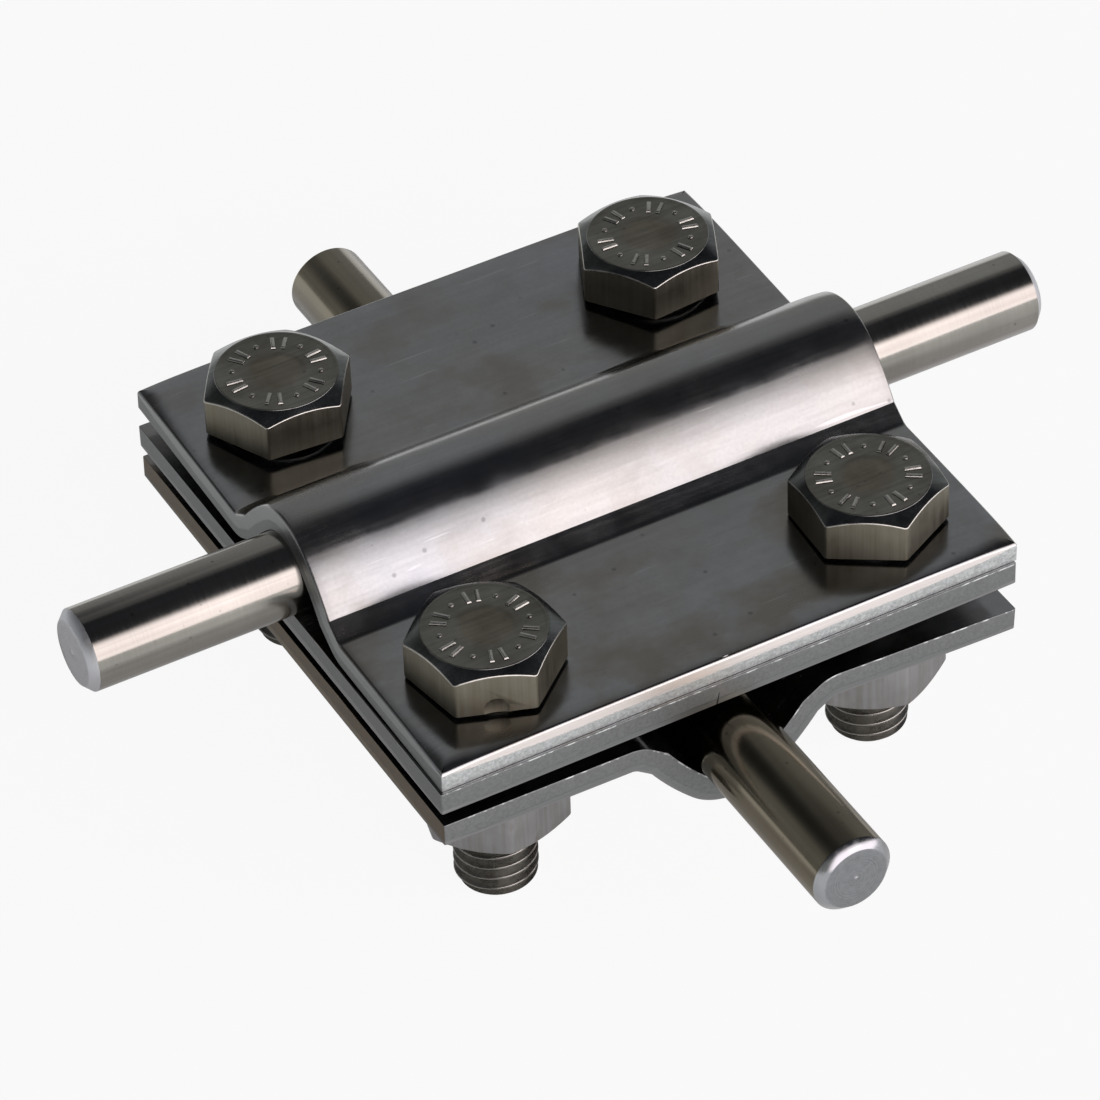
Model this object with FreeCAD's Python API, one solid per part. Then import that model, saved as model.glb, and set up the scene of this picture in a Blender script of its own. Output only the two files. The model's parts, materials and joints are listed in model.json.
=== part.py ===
import FreeCAD, Part
import math
import os

# Cross clamp block: two round conductors crossing at a right angle, one above and one below a flat
# square plate, each under its own channelled clamp plate, all held by four hexagon bolts and nuts.
# Millimetres, +Z up. The upper conductor runs along X and the lower one along Y.
# The origin is under the middle of the whole part, on the level of the bolt ends it stands on.

# Sheet that all three plates are made of
sheet = 2.5
plate_side = 60.0
plate_corner_radius = 0.6
rolled_edge = 0.3
burr_side_edge = 0.12

# Round conductors
rod_diameter = 8.0
rod_length = 101.0
rod_chamfer = 0.8
rod_nib_diameter = 0.9
rod_nib_height = 0.12
upper_rod_short_end = 49.85
lower_rod_short_end = 50.3

# Channel pressed across each clamp plate, the lower one a little deeper with tighter bends
upper_channel_depth = 7.32
lower_channel_depth = 7.6
upper_bend_radius = 3.8
lower_bend_radius = 3.4
channel_play = 0.2
flank_angle = 48.0
flange_spring = 0.88

# How the plates sit
upper_tilt = 1.9
lower_tilt = 1.75
upper_plate_shift_x = 0.25
upper_plate_shift_y = 0.2
upper_rod_offset = -0.3
lower_rod_offset = 0.0
lower_rod_slack = 1.45

# Bolts and nuts, thread size 8 with a 13 mm spanner
bolt_edge_distance = 10.0
bolt_offset_x = 0.2
shank_diameter = 7.9
shank_chamfer = 0.9
hex_width = 12.9
hex_edge_radius = 0.25
head_height = 4.5
head_face_diameter = 11.7
hex_chamfer_angle = 30.0
washer_face_diameter = 11.8
washer_face_height = 0.4
nut_height = 7.8
nut_bore_clearance = 0.05
nut_mouth = 0.45
plate_hole_clearance = 0.8
underside_above_bolt_ends = 20.0

# Turn of each head and nut about its own axis, by bolt
names = ["left", "front", "right", "back"]
head_turn = {"left": 55.8, "front": 39.5, "right": 26.6, "back": 5.1}
nut_turn = {"left": 47.0, "front": 14.0, "right": 29.0, "back": 8.0}

# Derived sizes
rod_radius = rod_diameter / 2
middle_x = rod_length / 2 - upper_rod_short_end
middle_y = rod_length / 2 - lower_rod_short_end
middle_bottom = underside_above_bolt_ends
middle_top = middle_bottom + sheet
upper_rod_z = middle_top + rod_radius
lower_rod_z = middle_bottom - lower_rod_slack - rod_radius
upper_rod_y = middle_y + upper_rod_offset
lower_rod_x = middle_x + lower_rod_offset
hole_radius = shank_diameter / 2 + plate_hole_clearance
bolt_pitch = plate_side - 2 * bolt_edge_distance
bolt_at = {
    "left": (middle_x + bolt_offset_x - bolt_pitch / 2, middle_y + bolt_pitch / 2),
    "front": (middle_x + bolt_offset_x - bolt_pitch / 2, middle_y - bolt_pitch / 2),
    "right": (middle_x + bolt_offset_x + bolt_pitch / 2, middle_y - bolt_pitch / 2),
    "back": (middle_x + bolt_offset_x + bolt_pitch / 2, middle_y + bolt_pitch / 2),
}

X = FreeCAD.Vector(1, 0, 0)
Y = FreeCAD.Vector(0, 1, 0)
Z = FreeCAD.Vector(0, 0, 1)


def turned(shape, centre, axis, degrees):
    """A copy of the shape turned about an axis through the centre."""
    copy = shape.copy()
    copy.rotate(centre, axis, degrees)
    return copy


def channel_profile(depth, bend_radius, reach):
    """Half profiles of a clamp plate, inside and outside, from the crest to the edge.

    Across the plate is x, and z is the height above the flat part of the inside. The reach is how far
    the edge lies from the middle of the channel.
    """
    phi = math.radians(flank_angle)
    spring = math.radians(flange_spring)
    crest = rod_radius + channel_play
    flank_out = FreeCAD.Vector(math.cos(phi), 0, -math.sin(phi))
    flank_normal = FreeCAD.Vector(math.sin(phi), 0, math.cos(phi))
    flange_out = FreeCAD.Vector(math.cos(spring), 0, math.sin(spring))
    flange_normal = FreeCAD.Vector(-math.sin(spring), 0, math.cos(spring))

    crest_centre = FreeCAD.Vector(0, 0, depth - crest)
    flank_start = crest_centre + flank_normal * crest
    corner = flank_start + flank_out * (flank_start.z / math.sin(phi))
    bend = bend_radius + sheet
    tangent = bend * math.tan((phi + spring) / 2)
    flank_end = corner - flank_out * tangent
    flange_start = corner + flange_out * tangent
    bend_centre = flange_start + flange_normal * bend
    bend_middle = (corner - bend_centre).normalize()
    edge = corner + flange_out * ((reach - corner.x) / math.cos(spring))
    crest_middle = FreeCAD.Vector(math.sin(phi / 2), 0, math.cos(phi / 2))

    def side(offset):
        return {
            "top": FreeCAD.Vector(0, 0, depth + offset),
            "crest_middle": crest_centre + crest_middle * (crest + offset),
            "flank_start": flank_start + flank_normal * offset,
            "flank_end": flank_end + flank_normal * offset,
            "bend_middle": bend_centre + bend_middle * (bend - offset),
            "flange_start": flange_start + flange_normal * offset,
            "edge": edge + flange_normal * offset,
        }

    return side(0.0), side(sheet)


def clamp_plate(depth, bend_radius, channel_shift, outer_edge):
    """A channelled clamp plate with its crest up and its channel along Y.

    The conductor it holds has its axis on the Y axis. The channel lies off the middle of the plate by
    the channel shift, and the outer edges are rounded by the outer edge radius.
    """

    def mirrored(p):
        return FreeCAD.Vector(-p.x, p.y, p.z)

    def half(s, m):
        return [
            Part.Arc(m(s["top"]), m(s["crest_middle"]), m(s["flank_start"])).toShape(),
            Part.makeLine(m(s["flank_start"]), m(s["flank_end"])),
            Part.Arc(m(s["flank_end"]), m(s["bend_middle"]), m(s["flange_start"])).toShape(),
            Part.makeLine(m(s["flange_start"]), m(s["edge"])),
        ]

    def same(p):
        return p

    inside, outside = channel_profile(depth, bend_radius, plate_side / 2 - channel_shift)
    inside_back, outside_back = channel_profile(depth, bend_radius, plate_side / 2 + channel_shift)
    edges = half(inside, same) + half(outside, same)
    edges += half(inside_back, mirrored) + half(outside_back, mirrored)
    edges.append(Part.makeLine(inside["edge"], outside["edge"]))
    edges.append(Part.makeLine(mirrored(inside_back["edge"]), mirrored(outside_back["edge"])))
    face = Part.Face(Part.Wire(Part.__sortEdges__(edges)))
    plate = face.extrude(Y * plate_side)
    plate.translate(Y * (-plate_side / 2))
    plate.translate(Z * (rod_radius - depth))
    return rolled(rounded_corners(plate), 1, outer_edge)


def rounded_corners(plate):
    """The plate with its four upright corners rounded."""
    corners = []
    for edge in plate.Edges:
        if edge.Length > 1.5 * sheet:
            continue
        a, b = edge.Vertexes[0].Point, edge.Vertexes[-1].Point
        near_corner = min(abs(a.x), abs(b.x)) > plate_side / 2 - sheet
        if near_corner and abs(a.z - b.z) > sheet / 2:
            corners.append(edge)
    return plate.makeFillet(plate_corner_radius, corners)


def rolled(plate, sign, radius):
    """The plate with the edges of its upper side (sign 1) or its underside (-1) rounded."""
    chosen = []
    for edge in plate.Edges:
        faces = plate.ancestorsOfType(edge, Part.Face)
        kinds = []
        for face in faces:
            u0, u1, v0, v1 = face.ParameterRange
            normal = face.normalAt((u0 + u1) / 2, (v0 + v1) / 2)
            kinds.append(normal.z * sign)
        if len(kinds) == 2 and max(kinds) > 0.2 and abs(min(kinds, key=abs)) < 0.05:
            chosen.append(edge)
    return plate.makeFillet(radius, chosen)


def with_holes(plate):
    """The placed plate with a clearance hole for each bolt."""
    for x, y in bolt_at.values():
        start = FreeCAD.Vector(x, y, middle_bottom - 4 * rod_diameter)
        plate = plate.cut(Part.makeCylinder(hole_radius, 8 * rod_diameter, start, Z))
    return plate


def upper_clamp_plate():
    """The upper plate: channel along X, open side towards +Y."""
    channel_shift = upper_rod_offset - upper_plate_shift_y
    plate = clamp_plate(upper_channel_depth, upper_bend_radius, channel_shift, rolled_edge)
    plate = turned(plate, FreeCAD.Vector(), Z, 90)
    plate = turned(plate, FreeCAD.Vector(), X, upper_tilt)
    plate.translate(FreeCAD.Vector(middle_x + upper_plate_shift_x, upper_rod_y, upper_rod_z))
    return with_holes(plate)


def lower_clamp_plate():
    """The lower plate: turned over, channel along Y, open side towards +X."""
    plate = clamp_plate(lower_channel_depth, lower_bend_radius, -lower_rod_offset, burr_side_edge)
    plate = turned(plate, FreeCAD.Vector(), Y, 180)
    plate = turned(plate, FreeCAD.Vector(), Y, lower_tilt)
    plate.translate(FreeCAD.Vector(lower_rod_x, middle_y, lower_rod_z))
    return with_holes(plate)


def middle_plate():
    """The flat plate between the two conductors."""
    corner = FreeCAD.Vector(middle_x - plate_side / 2, middle_y - plate_side / 2, middle_bottom)
    plate = Part.makeBox(plate_side, plate_side, sheet, corner)
    upright = [e for e in plate.Edges if abs(e.Vertexes[0].Point.z - e.Vertexes[1].Point.z) > sheet / 2]
    plate = rolled(plate.makeFillet(plate_corner_radius, upright), -1, burr_side_edge)
    return with_holes(plate)


def rod(centre, direction):
    """A conductor end to end, with turned chamfers and the small nib the parting tool leaves."""
    body = Part.makeCylinder(rod_radius, rod_length, centre - direction * (rod_length / 2), direction)
    rims = [e for e in body.Edges if isinstance(e.Curve, Part.Circle)]
    body = body.makeChamfer(rod_chamfer, rims)
    for way in (-1, 1):
        face = centre + direction * (way * rod_length / 2)
        nib_radius = rod_nib_diameter / 2
        foot = face - direction * (way * rod_chamfer)
        nib = Part.makeCone(nib_radius, nib_radius / 2, rod_chamfer + rod_nib_height, foot, direction * way)
        body = body.fuse(nib)
    return body


def hexagon(height, turn):
    """An upright hexagonal prism on the origin, its corners slightly rounded."""
    across_corners = hex_width / math.cos(math.pi / 6)
    points = []
    for i in range(7):
        a = math.radians(turn + 60 * i)
        points.append(FreeCAD.Vector(math.cos(a), math.sin(a), 0) * (across_corners / 2))
    prism = Part.Face(Part.makePolygon(points)).extrude(Z * height)
    upright = [e for e in prism.Edges if abs(e.Vertexes[0].Point.z - e.Vertexes[1].Point.z) > height / 2]
    return prism.makeFillet(hex_edge_radius, upright)


def chamfering_cone(face_z, way):
    """The solid that leaves a round face of the head face diameter at face_z, falling away to its rim."""
    slope = math.tan(math.radians(hex_chamfer_angle))
    face = head_face_diameter / 2
    depth = 2 * hex_width
    wide = face + depth / slope
    if way > 0:
        start = FreeCAD.Vector(0, 0, face_z - depth)
        return Part.makeCone(wide, face, depth, start, Z)
    start = FreeCAD.Vector(0, 0, face_z)
    return Part.makeCone(face, wide, depth, start, Z)


def seat_height(name, plate, way):
    """The height at which a flat bearing face first meets the plate around one bolt."""
    x, y = bolt_at[name]
    radius = washer_face_diameter / 2
    reach = 4 * rod_diameter
    start = FreeCAD.Vector(x, y, middle_bottom - reach)
    ring = plate.common(Part.makeCylinder(radius, 2 * reach, start, Z))
    box = ring.BoundBox
    return box.ZMax if way > 0 else box.ZMin


def bolt(name, seat):
    """A hexagon bolt, head up, its washer face on the seat and its end on the ground."""
    x, y = bolt_at[name]
    head = hexagon(head_height, head_turn[name]).common(chamfering_cone(head_height, 1))
    head.translate(Z * washer_face_height)
    washer_face = Part.makeCylinder(washer_face_diameter / 2, washer_face_height)
    shank = Part.makeCylinder(shank_diameter / 2, seat, Z * -seat)
    rim = [e for e in shank.Edges if isinstance(e.Curve, Part.Circle) and e.Curve.Center.z < -seat / 2]
    shank = shank.makeChamfer(shank_chamfer, rim)
    piece = head.fuse(washer_face).fuse(shank)
    piece.translate(FreeCAD.Vector(x, y, seat))
    return piece.removeSplitter()


def nut(name, seat):
    """A hexagon nut with its top on the seat."""
    x, y = bolt_at[name]
    piece = hexagon(nut_height, nut_turn[name])
    piece = piece.common(chamfering_cone(nut_height, 1)).common(chamfering_cone(0, -1))
    bore = shank_diameter / 2 + nut_bore_clearance
    piece = piece.cut(Part.makeCylinder(bore, nut_height))
    piece = piece.cut(Part.makeCone(bore + nut_mouth, bore, nut_mouth))
    mouth = Part.makeCone(bore, bore + nut_mouth, nut_mouth, Z * (nut_height - nut_mouth))
    piece = piece.cut(mouth)
    piece.translate(FreeCAD.Vector(x, y, seat - nut_height))
    return piece.removeSplitter()


def build():
    """Every piece of the part, by node name."""
    upper = upper_clamp_plate()
    lower = lower_clamp_plate()
    pieces = {
        "upper_clamp_plate": upper,
        "middle_plate": middle_plate(),
        "lower_clamp_plate": lower,
        "upper_rod": rod(FreeCAD.Vector(0, upper_rod_y, upper_rod_z), X),
        "lower_rod": rod(FreeCAD.Vector(lower_rod_x, 0, lower_rod_z), Y),
    }
    for name in names:
        pieces[name + "_bolt"] = bolt(name, seat_height(name, upper, 1))
        pieces[name + "_nut"] = nut(name, seat_height(name, lower, -1))
    return pieces


os.makedirs("parts", exist_ok=True)
for node, shape in build().items():
    shape.exportStep("parts/" + node + ".step")
    box = shape.BoundBox
    print(
        node, shape.isValid(), len(shape.Solids), round(shape.Volume, 1),
        [round(v, 2) for v in (box.XMin, box.XMax, box.YMin, box.YMax, box.ZMin, box.ZMax)],
    )
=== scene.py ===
import json
from math import atan2, ceil, cos, exp, floor, hypot, pi, radians, sin, tan

import bmesh
import bpy
from mathutils import Matrix, Vector, noise
from mathutils.bvhtree import BVHTree


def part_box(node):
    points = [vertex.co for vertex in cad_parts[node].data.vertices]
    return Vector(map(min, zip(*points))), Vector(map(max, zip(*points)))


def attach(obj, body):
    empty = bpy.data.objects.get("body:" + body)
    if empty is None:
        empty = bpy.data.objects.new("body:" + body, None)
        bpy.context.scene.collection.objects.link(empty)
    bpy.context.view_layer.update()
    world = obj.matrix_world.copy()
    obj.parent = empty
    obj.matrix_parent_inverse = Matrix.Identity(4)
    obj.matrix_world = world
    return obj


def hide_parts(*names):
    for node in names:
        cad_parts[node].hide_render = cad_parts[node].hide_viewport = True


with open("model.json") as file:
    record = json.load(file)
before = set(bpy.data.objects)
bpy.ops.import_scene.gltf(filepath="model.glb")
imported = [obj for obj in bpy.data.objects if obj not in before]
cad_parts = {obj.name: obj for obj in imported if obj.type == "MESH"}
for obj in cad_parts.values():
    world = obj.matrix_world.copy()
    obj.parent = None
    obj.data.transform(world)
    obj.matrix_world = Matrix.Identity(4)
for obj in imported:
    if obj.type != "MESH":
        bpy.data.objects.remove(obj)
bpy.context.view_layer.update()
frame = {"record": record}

bl_info = {
    "name": "Cross clamp block",
    "version": (1, 0, 0),
    "blender": (4, 5, 0),
    "location": "3D View > Sidebar > Clamp block",
    "description": "Dresses the cross clamp block: sheared plates, drawn conductors, threaded fasteners",
    "category": "Object",
}

MM = 0.001
X, Y, Z = Vector((1, 0, 0)), Vector((0, 1, 0)), Vector((0, 0, 1))
STATIONS = ("left", "front", "right", "back")

# Points of a mesh that lie nearer together than this are one
MERGE = 1e-7

# Steps of the plates' mesh, away from an edge and next to it
STEP = 2.4 * MM
EDGE_STEPS = [0.9 * MM, 0.7 * MM, 0.9 * MM, 1.3 * MM]

# How far in from a plate's edge its rim sinks, its corners dip and the shear's marks of a corner show
RIM_REACH, DIP_REACH, CORNER_REACH = 2.0 * MM, 3.5 * MM, 4.5 * MM

# Radius of a plate's inside rim, and the cosine to the sheet's own face under which a face is sheared
INSIDE_EDGE, SHEARED_BELOW = 0.05 * MM, 0.62

# Small marks of making: half the burr's size, then the nick's two radii, its length, its middle and its lean
BURR = (0.32 * MM, 0.14 * MM, 0.13 * MM, 1)
NICK_FOOT, NICK_TIP, NICK_LENGTH = 0.11 * MM, 0.03 * MM, 1.7 * MM
NICK_MIDDLE, NICK_LEAN = 0.6 * MM, 0.2

# Conductors' ends, from the axis out: each point's radius in mm and its share of the nib's height
NIB = ((0.0, 1.0), (0.16, 1.0), (0.24, 0.6), (0.42, 0.0), (1.2, 0.0), (2.2, 0.0))
SOFT_EDGE = 0.025 * MM

# Heads, in mm: how far in from the face's rim and how far down from the top each point of the rim lies,
# then the radius and the depth of each point of the dish
HEAD_RIM = ((0.0, 0.07), (0.02, 0.035), (0.06, 0.01), (0.12, 0.0), (0.22, 0.0), (0.34, 0.02), (0.5, 0.04))
HEAD_DISH = ((3.0, 0.05), (2.75, 0.07), (2.5, 0.11), (2.2, 0.13), (0.0, 0.15))

# Hexagons: the chamfer's slope, a reach past their corners, and the radii of their upright edges and arcs
CHAMFER_SLOPE = tan(radians(30))
CROWN_REACH, HEXAGON_EDGE, ARC_EDGE = 8.5 * MM, 0.25 * MM, 0.1 * MM

# Marks on the heads: radius of their ring, their rise, and the sizes of a stroke and of half a pip
MARK_RING, MARK_RISE = 4.15 * MM, 0.19 * MM
STROKE = (1.6 * MM, 0.44 * MM, 2 * MARK_RISE, 1)
PIP = (0.3 * MM, 0.3 * MM, MARK_RISE, 1)

# Dimple of the front head: its ball's radius, and the ball's centre out from the flat and up from its foot
DIMPLE_RADIUS, DIMPLE_OUT, DIMPLE_UP = 4.17 * MM, 4.0 * MM, 0.52 * MM

# Distances from a fastener's axis that its thread ends within, and that its arcs and flats lie beyond
THREAD_WITHIN, ARCS_BEYOND, FLATS_BEYOND = 4.1 * MM, 5.95 * MM, 6.0 * MM


# Sizes and colours that a user may change


def length_value(name, description, millimetres):
    return bpy.props.FloatProperty(
        name=name, description=description, default=millimetres * MM, unit="LENGTH", precision=5
    )


def angle_value(name, description, degrees):
    return bpy.props.FloatProperty(
        name=name, description=description, default=radians(degrees), subtype="ANGLE"
    )


def turn_values(name, description, *degrees):
    return bpy.props.FloatVectorProperty(
        name=name, description=description, size=4, default=tuple(radians(turn) for turn in degrees),
        unit="ROTATION",
    )


def colour_value(name, description, *colour):
    return bpy.props.FloatVectorProperty(
        name=name, description=description, subtype="COLOR", size=3, default=colour
    )


class ClampSizes(bpy.types.PropertyGroup):
    """Sizes of the pressed plates and the conductors."""

    sheet: length_value("Sheet", "Thickness of the plates", 2.5)
    corner_radius: length_value("Corner radius", "Radius of the plates' upright corners", 0.2)
    upper_channel_depth: length_value("Upper channel depth", "From the flat to the crest, inside", 7.32)
    lower_channel_depth: length_value("Lower channel depth", "From the flat to the crest, inside", 7.6)
    upper_bend_radius: length_value("Upper bend radius", "Outside radius at the foot of the flank", 3.8)
    lower_bend_radius: length_value("Lower bend radius", "Outside radius at the foot of the flank", 3.4)
    crease: angle_value("Crease", "Break in slope that the punch leaves along the feet of the flanks", 14.0)
    flank_bow: angle_value(
        "Flank bow", "How far the flanks' slope lags behind at the crest and leads at the foot", 6.0
    )
    foot_radius: length_value("Foot radius", "Last tight bend into the flange", 1.3)
    channel_play: length_value("Channel play", "Crest radius over the conductor's radius", 0.2)
    flank_angle: angle_value("Flank angle", "Slope of the channel's sides", 48.0)
    flange_spring: angle_value("Flange spring", "How far each flange rises outwards", 0.88)
    upper_tilt: angle_value("Upper tilt", "Roll of the upper plate about its conductor", 1.9)
    lower_tilt: angle_value("Lower tilt", "Roll of the lower plate about its conductor", 1.75)
    upper_channel_shift: length_value(
        "Upper channel shift", "How far the channel lies off the plate's middle", -0.5
    )
    hole_radius: length_value("Hole radius", "Clearance holes for the bolts", 4.75)
    roll_over: length_value("Roll-over", "Rounding that the shear leaves on one side", 0.3)
    nib_height: length_value("Nib height", "Height of the parting nib on the conductors' ends", 0.12)
    conductor_chamfer: length_value("Conductor chamfer", "Chamfer at the conductors' ends", 0.8)


class FastenerSizes(bpy.types.PropertyGroup):
    """Sizes of the bolts and nuts."""

    hex_width: length_value("Across flats", "Width of the hexagons", 12.9)
    face_diameter: length_value("Head face", "Diameter of the round faces of heads and nuts", 11.7)
    washer_face_diameter: length_value("Washer face", "Diameter of the washer face", 11.8)
    washer_face_height: length_value("Washer face height", "Height of the washer face", 0.2)
    head_height: length_value("Head height", "Height of the hexagonal part of a head", 4.7)
    head_turns: turn_values("Head turns", "Turns of left, front, right and back head", 55.8, 39.5, 26.6, 5.1)
    nut_turns: turn_values("Nut turns", "Turns of left, front, right and back nut", 47.0, 14.0, 29.0, 8.0)
    thread_radius: length_value("Thread radius", "Radius over the thread's crests", 3.94)
    thread_depth: length_value("Thread depth", "From crest to root", 0.74)
    pitch: length_value("Pitch", "Rise of the thread in one turn", 1.25)
    thread_play: length_value("Thread play", "Room between the threads of nut and bolt", 0.07)


class ClampColours(bpy.types.PropertyGroup):
    """Colours of the steel and the floor."""

    plate: colour_value("Rolled sheet", "Faces of the plates", 0.30, 0.303, 0.307)
    burnish: colour_value("Burnished shear", "Bright band of the sheared edges", 0.93, 0.87, 0.84)
    fracture: colour_value("Fractured shear", "Grey band of the sheared edges", 0.258, 0.270, 0.270)
    rod: colour_value("Conductor", "Drawn conductors", 0.335, 0.325, 0.30)
    fastener: colour_value("Fastener", "Bolts and nuts", 0.27, 0.265, 0.245)
    turned: colour_value("Turned end", "Turned ends of the conductors", 0.293, 0.30, 0.312)
    floor: colour_value("Floor", "Studio floor", 0.9, 0.9, 0.9)


# Mesh helpers


def linked(name, data):
    """A new object of the scene."""
    piece = bpy.data.objects.new(name, data)
    bpy.context.scene.collection.objects.link(piece)
    return piece


def mesh_of(bm, name):
    """A new mesh from the bmesh, which is used up."""
    mesh = bpy.data.meshes.new(name)
    bm.to_mesh(mesh)
    bm.free()
    return mesh


def at(x, y, z):
    return Matrix.Translation((x, y, z))


def moved(bm, matrix):
    """The bmesh with the matrix applied."""
    bmesh.ops.transform(bm, matrix=matrix, verts=bm.verts)
    return bm


def merged(bm):
    """The bmesh with its doubles merged and its faces outward."""
    bmesh.ops.remove_doubles(bm, verts=bm.verts, dist=MERGE)
    bmesh.ops.recalc_face_normals(bm, faces=bm.faces)
    return bm


def only(geometry, kind):
    return [part for part in geometry if isinstance(part, kind)]


def finished(bm, name, materials, smooth_angle=30):
    """A new object from the merged bmesh, with sharp edges kept."""
    merged(bm)
    for face in bm.faces:
        face.smooth = True
    for edge in bm.edges:
        if len(edge.link_faces) == 2:
            edge.smooth = edge.calc_face_angle(0) < radians(smooth_angle)
    mesh = mesh_of(bm, name)
    for material in materials:
        mesh.materials.append(material)
    return linked(name, mesh)


def combined(first, second, operation):
    """The bmesh that a boolean of two closed bmeshes leaves. Both are used up."""
    parts = []
    for name, bm in (("boolean_first", first), ("boolean_second", second)):
        bmesh.ops.recalc_face_normals(bm, faces=bm.faces)
        parts.append(linked(name, mesh_of(bm, name)))
    modifier = parts[0].modifiers.new("cut", "BOOLEAN")
    modifier.operation = operation
    modifier.solver = "MANIFOLD"
    modifier.object = parts[1]
    depsgraph = bpy.context.evaluated_depsgraph_get()
    result = bmesh.new()
    result.from_mesh(parts[0].evaluated_get(depsgraph).to_mesh())
    if not result.faces or any(not edge.is_manifold for edge in result.edges):
        raise RuntimeError("the boolean " + operation + " left no closed form")
    for part in parts:
        mesh = part.data
        bpy.data.objects.remove(part)
        bpy.data.meshes.remove(mesh)
    return result


def rounded(bm, edges, radius, segments, clamped=False):
    """Round the edges off."""
    bmesh.ops.bevel(
        bm, geom=edges, offset=radius, affect="EDGES", segments=segments, profile=0.5, material=-1,
        clamp_overlap=clamped,
    )


def drawn_line(bm, points):
    """The points and edges of a line above X, from the radius and the height of each of its points."""
    radius, height = points[0]
    verts, edges = [bm.verts.new((radius, 0, height))], []
    for radius, height in points[1:]:
        grown = bmesh.ops.extrude_vert_indiv(bm, verts=verts[-1:])
        grown["verts"][0].co = (radius, 0, height)
        verts += grown["verts"]
        edges += grown["edges"]
    return verts + edges


def lathe(points, steps=96):
    """A closed bmesh turned about Z from the radius and height of each point of its outline."""
    bm = bmesh.new()
    line = drawn_line(bm, points)
    bmesh.ops.spin(bm, geom=line, cent=(0, 0, 0), axis=Z, angle=2 * pi, steps=steps, use_merge=True)
    return merged(bm)


def screw_thread(radius, depth, pitch, low, high, steps=48):
    """A closed right-hand thread about Z, cut level at both ends. A root passes X at every whole pitch."""
    root = radius - depth
    root_edge, crest_edge = root + 0.05 * depth, radius - 0.06 * depth
    below = floor(low / pitch) - 2
    turns = ceil(high / pitch) + 2 - below
    # The radius of each point of the profile, and how far up the pitch it lies
    profile = (
        (root, 0.0), (root, 0.17), (root_edge, 0.25), (crest_edge, 0.54), (radius, 0.58), (radius, 0.67),
        (crest_edge, 0.71), (root_edge, 1.0), (root, 1.0),
    )
    bm = bmesh.new()
    line = drawn_line(bm, [(r, (below + share) * pitch) for r, share in profile])
    rise = (0, 0, pitch / steps)
    bmesh.ops.spin(bm, geom=line, cent=(0, 0, 0), axis=Z, dvec=rise, angle=2 * pi, steps=steps)
    single = bm.verts[:] + bm.edges[:] + bm.faces[:]
    for turn in range(1, turns):
        copy = bmesh.ops.duplicate(bm, geom=single)["geom"]
        bmesh.ops.translate(bm, verts=only(copy, bmesh.types.BMVert), vec=Z * (pitch * turn))
    bmesh.ops.remove_doubles(bm, verts=bm.verts, dist=MERGE)
    for height, normal in ((low, -Z), (high, Z)):
        geometry = bm.verts[:] + bm.edges[:] + bm.faces[:]
        cut = bmesh.ops.bisect_plane(
            bm, geom=geometry, dist=1e-8, plane_co=(0, 0, height), plane_no=normal, clear_outer=True
        )
        bmesh.ops.contextual_create(bm, geom=only(cut["geom_cut"], bmesh.types.BMEdge))
    bmesh.ops.recalc_face_normals(bm, faces=bm.faces)
    return bm


def mark_radius(mesh, centre, along=2):
    """Keep each point's distance from the axis through the centre on the mesh."""
    kept = mesh.attributes.new("radius", "FLOAT", "POINT")
    for vert in mesh.vertices:
        offset = vert.co - centre
        offset[along] = 0
        kept.data[vert.index].value = offset.length


# Nodes


class Nodes:
    """Short calls for the nodes of a material or world."""

    def __init__(self, tree):
        self.nodes = tree.nodes
        self.links = tree.links

    def add(self, kind, inputs, output=0, **settings):
        """One output of a new node. An input is a value or another node's output."""
        node = self.nodes.new("ShaderNode" + kind)
        for name, value in settings.items():
            setattr(node, name, value)
        for name, value in inputs.items():
            if isinstance(value, bpy.types.NodeSocket):
                self.links.new(value, node.inputs[name])
            else:
                node.inputs[name].default_value = value
        return node.outputs[output]

    def math(self, operation, first, second):
        return self.add("Math", {0: first, 1: second}, operation=operation)

    def times(self, first, second):
        return self.math("MULTIPLY", first, second)

    def plus(self, total, *others):
        for other in others:
            total = self.math("ADD", total, other)
        return total

    def grey(self, fac, low, high, start=0.0, end=1.0, easing="LINEAR"):
        """The factor moved from start..end to low..high."""
        inputs = {"Value": fac, "From Min": start, "From Max": end, "To Min": low, "To Max": high}
        return self.add("MapRange", inputs, "Result", interpolation_type=easing)

    def ramp(self, fac, stops, easing="LINEAR"):
        node = self.nodes.new("ShaderNodeValToRGB")
        node.color_ramp.interpolation = easing
        elements = node.color_ramp.elements
        while len(elements) > 1:
            elements.remove(elements[-1])
        for index, (position, colour) in enumerate(stops):
            element = elements[0] if index == 0 else elements.new(position)
            element.position = position
            element.color = (*colour, 1)
        self.links.new(fac, node.inputs["Fac"])
        return node.outputs["Color"]


# Materials


def scaled(colour, factor):
    return tuple(min(1.0, c * factor) for c in colour)


def tinted(colour, tint, factor=1.0):
    return scaled([c * t for c, t in zip(colour, tint)], factor)


def shade(value):
    """A colour as it is, or a number as a grey."""
    return value if isinstance(value, tuple) else (value,) * 3


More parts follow.
